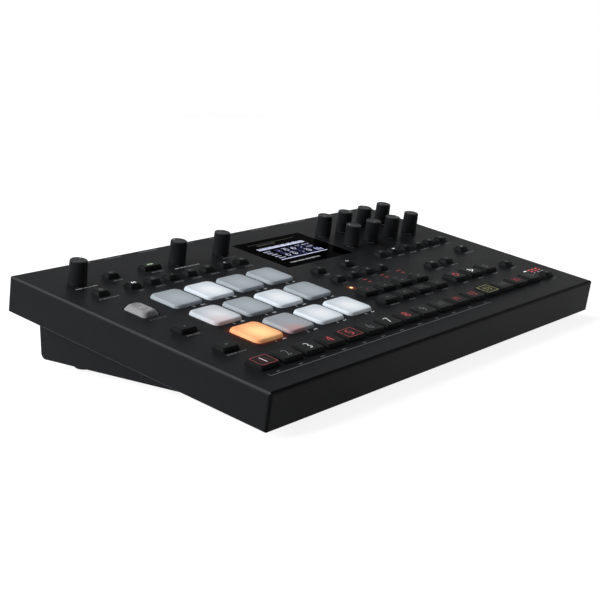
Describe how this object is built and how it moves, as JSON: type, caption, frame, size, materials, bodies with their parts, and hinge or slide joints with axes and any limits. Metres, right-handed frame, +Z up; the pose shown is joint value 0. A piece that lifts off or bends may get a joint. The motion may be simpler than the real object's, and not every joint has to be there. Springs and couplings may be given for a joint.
{
  "type": "drum machine",
  "caption": "Desktop drum machine with a sloping black panel, lit pads, step keys, knobs, a screen and rear sockets, on rubber feet.",
  "frame": {"origin": "on the ground under the middle of the part's box", "axes": "+X to the player's right, +Y from the player to the rear sockets, +Z up"},
  "size_m": [0.385, 0.223, 0.079],
  "materials": {
    "body_black": "satin powder coat",
    "key_black": "satin moulded",
    "func_grey": "satin moulded",
    "knob_black": "soft-touch coated",
    "pad_white": "translucent silicone",
    "window_black": "polished",
    "board_green": "solder mask",
    "part_black": "moulded",
    "steel": "plated",
    "foot_rubber": "matt"
  },
  "bodies": {
    "case": {"top_cover": "body_black", "base_case": "body_black", "rear_panel": "body_black", "rubber_feet": "foot_rubber", "case_screws": "steel", "control_board": "board_green", "switches_and_pad_sensors": "part_black", "encoder_bodies": "steel", "display_module": "part_black", "display_window": "window_black", "main_board": "board_green", "audio_jacks": "part_black", "data_sockets": "part_black"},
    "volume_knob": {"volume_knob": "knob_black"},
    "level_knob": {"level_knob": "knob_black"},
    "select_knob": {"select_knob": "knob_black"},
    "data_knob_1": {"data_knob_1": "knob_black"},
    "data_knob_2": {"data_knob_2": "knob_black"},
    "data_knob_3": {"data_knob_3": "knob_black"},
    "data_knob_4": {"data_knob_4": "knob_black"},
    "data_knob_5": {"data_knob_5": "knob_black"},
    "data_knob_6": {"data_knob_6": "knob_black"},
    "data_knob_7": {"data_knob_7": "knob_black"},
    "data_knob_8": {"data_knob_8": "knob_black"},
    "pad_1": {"pad_1": "pad_white"},
    "pad_2": {"pad_2": "pad_white"},
    "pad_3": {"pad_3": "pad_white"},
    "pad_4": {"pad_4": "pad_white"},
    "pad_5": {"pad_5": "pad_white"},
    "pad_6": {"pad_6": "pad_white"},
    "pad_7": {"pad_7": "pad_white"},
    "pad_8": {"pad_8": "pad_white"},
    "pad_9": {"pad_9": "pad_white"},
    "pad_10": {"pad_10": "pad_white"},
    "pad_11": {"pad_11": "pad_white"},
    "pad_12": {"pad_12": "pad_white"},
    "trig_key_1": {"trig_key_1": "key_black"},
    "trig_key_2": {"trig_key_2": "key_black"},
    "trig_key_3": {"trig_key_3": "key_black"},
    "trig_key_4": {"trig_key_4": "key_black"},
    "trig_key_5": {"trig_key_5": "key_black"},
    "trig_key_6": {"trig_key_6": "key_black"},
    "trig_key_7": {"trig_key_7": "key_black"},
    "trig_key_8": {"trig_key_8": "key_black"},
    "trig_key_9": {"trig_key_9": "key_black"},
    "trig_key_10": {"trig_key_10": "key_black"},
    "trig_key_11": {"trig_key_11": "key_black"},
    "trig_key_12": {"trig_key_12": "key_black"},
    "trig_key_13": {"trig_key_13": "key_black"},
    "trig_key_14": {"trig_key_14": "key_black"},
    "trig_key_15": {"trig_key_15": "key_black"},
    "trig_key_16": {"trig_key_16": "key_black"},
    "func_key": {"func_key": "func_grey"},
    "left_keys": {"left_keys": "key_black"},
    "screen_keys": {"screen_keys": "key_black"},
    "mode_keys": {"mode_keys": "key_black"},
    "page_keys": {"page_keys": "key_black"},
    "transport_keys": {"transport_keys": "key_black"},
    "right_keys": {"right_keys": "key_black"},
    "power_rocker": {"power_rocker": "part_black"}
  },
  "joints": [
    {"name": "volume_knob_turn", "type": "hinge", "parent": "case", "child": "volume_knob", "pos_m": [-0.1662, 0.07181, 0.07125], "axis": [0, -0.1736, 0.9848], "range_deg": [-150, 150]},
    {"name": "level_knob_turn", "type": "hinge", "parent": "case", "child": "level_knob", "pos_m": [-0.0756, 0.07181, 0.07125], "axis": [0, -0.1736, 0.9848], "continuous": true},
    {"name": "select_knob_turn", "type": "hinge", "parent": "case", "child": "select_knob", "pos_m": [-0.0312, 0.07181, 0.07125], "axis": [0, -0.1736, 0.9848], "continuous": true},
    {"name": "data_knob_1_turn", "type": "hinge", "parent": "case", "child": "data_knob_1", "pos_m": [0.0816, 0.0663, 0.07028], "axis": [0, -0.1736, 0.9848], "continuous": true},
    {"name": "data_knob_2_turn", "type": "hinge", "parent": "case", "child": "data_knob_2", "pos_m": [0.1078, 0.0663, 0.07028], "axis": [0, -0.1736, 0.9848], "continuous": true},
    {"name": "data_knob_3_turn", "type": "hinge", "parent": "case", "child": "data_knob_3", "pos_m": [0.134, 0.0663, 0.07028], "axis": [0, -0.1736, 0.9848], "continuous": true},
    {"name": "data_knob_4_turn", "type": "hinge", "parent": "case", "child": "data_knob_4", "pos_m": [0.1602, 0.0663, 0.07028], "axis": [0, -0.1736, 0.9848], "continuous": true},
    {"name": "data_knob_5_turn", "type": "hinge", "parent": "case", "child": "data_knob_5", "pos_m": [0.0816, 0.03833, 0.06535], "axis": [0, -0.1736, 0.9848], "continuous": true},
    {"name": "data_knob_6_turn", "type": "hinge", "parent": "case", "child": "data_knob_6", "pos_m": [0.1078, 0.03833, 0.06535], "axis": [0, -0.1736, 0.9848], "continuous": true},
    {"name": "data_knob_7_turn", "type": "hinge", "parent": "case", "child": "data_knob_7", "pos_m": [0.134, 0.03833, 0.06535], "axis": [0, -0.1736, 0.9848], "continuous": true},
    {"name": "data_knob_8_turn", "type": "hinge", "parent": "case", "child": "data_knob_8", "pos_m": [0.1602, 0.03833, 0.06535], "axis": [0, -0.1736, 0.9848], "continuous": true},
    {"name": "pad_1_press", "type": "slide", "parent": "case", "child": "pad_1", "axis": [0, 0.1736, -0.9848], "range_m": [0, 0.0008], "stiffness_N_per_m": 300, "springref_m": -0.001},
    {"name": "pad_2_press", "type": "slide", "parent": "case", "child": "pad_2", "axis": [0, 0.1736, -0.9848], "range_m": [0, 0.0008], "stiffness_N_per_m": 300, "springref_m": -0.001},
    {"name": "pad_3_press", "type": "slide", "parent": "case", "child": "pad_3", "axis": [0, 0.1736, -0.9848], "range_m": [0, 0.0008], "stiffness_N_per_m": 300, "springref_m": -0.001},
    {"name": "pad_4_press", "type": "slide", "parent": "case", "child": "pad_4", "axis": [0, 0.1736, -0.9848], "range_m": [0, 0.0008], "stiffness_N_per_m": 300, "springref_m": -0.001},
    {"name": "pad_5_press", "type": "slide", "parent": "case", "child": "pad_5", "axis": [0, 0.1736, -0.9848], "range_m": [0, 0.0008], "stiffness_N_per_m": 300, "springref_m": -0.001},
    {"name": "pad_6_press", "type": "slide", "parent": "case", "child": "pad_6", "axis": [0, 0.1736, -0.9848], "range_m": [0, 0.0008], "stiffness_N_per_m": 300, "springref_m": -0.001},
    {"name": "pad_7_press", "type": "slide", "parent": "case", "child": "pad_7", "axis": [0, 0.1736, -0.9848], "range_m": [0, 0.0008], "stiffness_N_per_m": 300, "springref_m": -0.001},
    {"name": "pad_8_press", "type": "slide", "parent": "case", "child": "pad_8", "axis": [0, 0.1736, -0.9848], "range_m": [0, 0.0008], "stiffness_N_per_m": 300, "springref_m": -0.001},
    {"name": "pad_9_press", "type": "slide", "parent": "case", "child": "pad_9", "axis": [0, 0.1736, -0.9848], "range_m": [0, 0.0008], "stiffness_N_per_m": 300, "springref_m": -0.001},
    {"name": "pad_10_press", "type": "slide", "parent": "case", "child": "pad_10", "axis": [0, 0.1736, -0.9848], "range_m": [0, 0.0008], "stiffness_N_per_m": 300, "springref_m": -0.001},
    {"name": "pad_11_press", "type": "slide", "parent": "case", "child": "pad_11", "axis": [0, 0.1736, -0.9848], "range_m": [0, 0.0008], "stiffness_N_per_m": 300, "springref_m": -0.001},
    {"name": "pad_12_press", "type": "slide", "parent": "case", "child": "pad_12", "axis": [0, 0.1736, -0.9848], "range_m": [0, 0.0008], "stiffness_N_per_m": 300, "springref_m": -0.001},
    {"name": "trig_key_1_press", "type": "slide", "parent": "case", "child": "trig_key_1", "axis": [0, 0.1736, -0.9848], "range_m": [0, 0.001], "stiffness_N_per_m": 150, "springref_m": -0.002},
    {"name": "trig_key_2_press", "type": "slide", "parent": "case", "child": "trig_key_2", "axis": [0, 0.1736, -0.9848], "range_m": [0, 0.001], "stiffness_N_per_m": 150, "springref_m": -0.002},
    {"name": "trig_key_3_press", "type": "slide", "parent": "case", "child": "trig_key_3", "axis": [0, 0.1736, -0.9848], "range_m": [0, 0.001], "stiffness_N_per_m": 150, "springref_m": -0.002},
    {"name": "trig_key_4_press", "type": "slide", "parent": "case", "child": "trig_key_4", "axis": [0, 0.1736, -0.9848], "range_m": [0, 0.001], "stiffness_N_per_m": 150, "springref_m": -0.002},
    {"name": "trig_key_5_press", "type": "slide", "parent": "case", "child": "trig_key_5", "axis": [0, 0.1736, -0.9848], "range_m": [0, 0.001], "stiffness_N_per_m": 150, "springref_m": -0.002},
    {"name": "trig_key_6_press", "type": "slide", "parent": "case", "child": "trig_key_6", "axis": [0, 0.1736, -0.9848], "range_m": [0, 0.001], "stiffness_N_per_m": 150, "springref_m": -0.002},
    {"name": "trig_key_7_press", "type": "slide", "parent": "case", "child": "trig_key_7", "axis": [0, 0.1736, -0.9848], "range_m": [0, 0.001], "stiffness_N_per_m": 150, "springref_m": -0.002},
    {"name": "trig_key_8_press", "type": "slide", "parent": "case", "child": "trig_key_8", "axis": [0, 0.1736, -0.9848], "range_m": [0, 0.001], "stiffness_N_per_m": 150, "springref_m": -0.002},
    {"name": "trig_key_9_press", "type": "slide", "parent": "case", "child": "trig_key_9", "axis": [0, 0.1736, -0.9848], "range_m": [0, 0.001], "stiffness_N_per_m": 150, "springref_m": -0.002},
    {"name": "trig_key_10_press", "type": "slide", "parent": "case", "child": "trig_key_10", "axis": [0, 0.1736, -0.9848], "range_m": [0, 0.001], "stiffness_N_per_m": 150, "springref_m": -0.002},
    {"name": "trig_key_11_press", "type": "slide", "parent": "case", "child": "trig_key_11", "axis": [0, 0.1736, -0.9848], "range_m": [0, 0.001], "stiffness_N_per_m": 150, "springref_m": -0.002},
    {"name": "trig_key_12_press", "type": "slide", "parent": "case", "child": "trig_key_12", "axis": [0, 0.1736, -0.9848], "range_m": [0, 0.001], "stiffness_N_per_m": 150, "springref_m": -0.002},
    {"name": "trig_key_13_press", "type": "slide", "parent": "case", "child": "trig_key_13", "axis": [0, 0.1736, -0.9848], "range_m": [0, 0.001], "stiffness_N_per_m": 150, "springref_m": -0.002},
    {"name": "trig_key_14_press", "type": "slide", "parent": "case", "child": "trig_key_14", "axis": [0, 0.1736, -0.9848], "range_m": [0, 0.001], "stiffness_N_per_m": 150, "springref_m": -0.002},
    {"name": "trig_key_15_press", "type": "slide", "parent": "case", "child": "trig_key_15", "axis": [0, 0.1736, -0.9848], "range_m": [0, 0.001], "stiffness_N_per_m": 150, "springref_m": -0.002},
    {"name": "trig_key_16_press", "type": "slide", "parent": "case", "child": "trig_key_16", "axis": [0, 0.1736, -0.9848], "range_m": [0, 0.001], "stiffness_N_per_m": 150, "springref_m": -0.002},
    {"name": "func_key_press", "type": "slide", "parent": "case", "child": "func_key", "axis": [0, 0.1736, -0.9848], "range_m": [0, 0.001], "stiffness_N_per_m": 150, "springref_m": -0.002},
    {"name": "left_keys_press", "type": "slide", "parent": "case", "child": "left_keys", "axis": [0, 0.1736, -0.9848], "range_m": [0, 0.001], "stiffness_N_per_m": 150, "springref_m": -0.002},
    {"name": "screen_keys_press", "type": "slide", "parent": "case", "child": "screen_keys", "axis": [0, 0.1736, -0.9848], "range_m": [0, 0.001], "stiffness_N_per_m": 150, "springref_m": -0.002},
    {"name": "mode_keys_press", "type": "slide", "parent": "case", "child": "mode_keys", "axis": [0, 0.1736, -0.9848], "range_m": [0, 0.001], "stiffness_N_per_m": 150, "springref_m": -0.002},
    {"name": "page_keys_press", "type": "slide", "parent": "case", "child": "page_keys", "axis": [0, 0.1736, -0.9848], "range_m": [0, 0.001], "stiffness_N_per_m": 150, "springref_m": -0.002},
    {"name": "transport_keys_press", "type": "slide", "parent": "case", "child": "transport_keys", "axis": [0, 0.1736, -0.9848], "range_m": [0, 0.001], "stiffness_N_per_m": 150, "springref_m": -0.002},
    {"name": "right_keys_press", "type": "slide", "parent": "case", "child": "right_keys", "axis": [0, 0.1736, -0.9848], "range_m": [0, 0.001], "stiffness_N_per_m": 150, "springref_m": -0.002},
    {"name": "power_rocker_tip", "type": "hinge", "parent": "case", "child": "power_rocker", "pos_m": [0.1399, 0.10709, 0.0296], "axis": [1, 0, 0], "range_deg": [0, 20]}
  ]
}
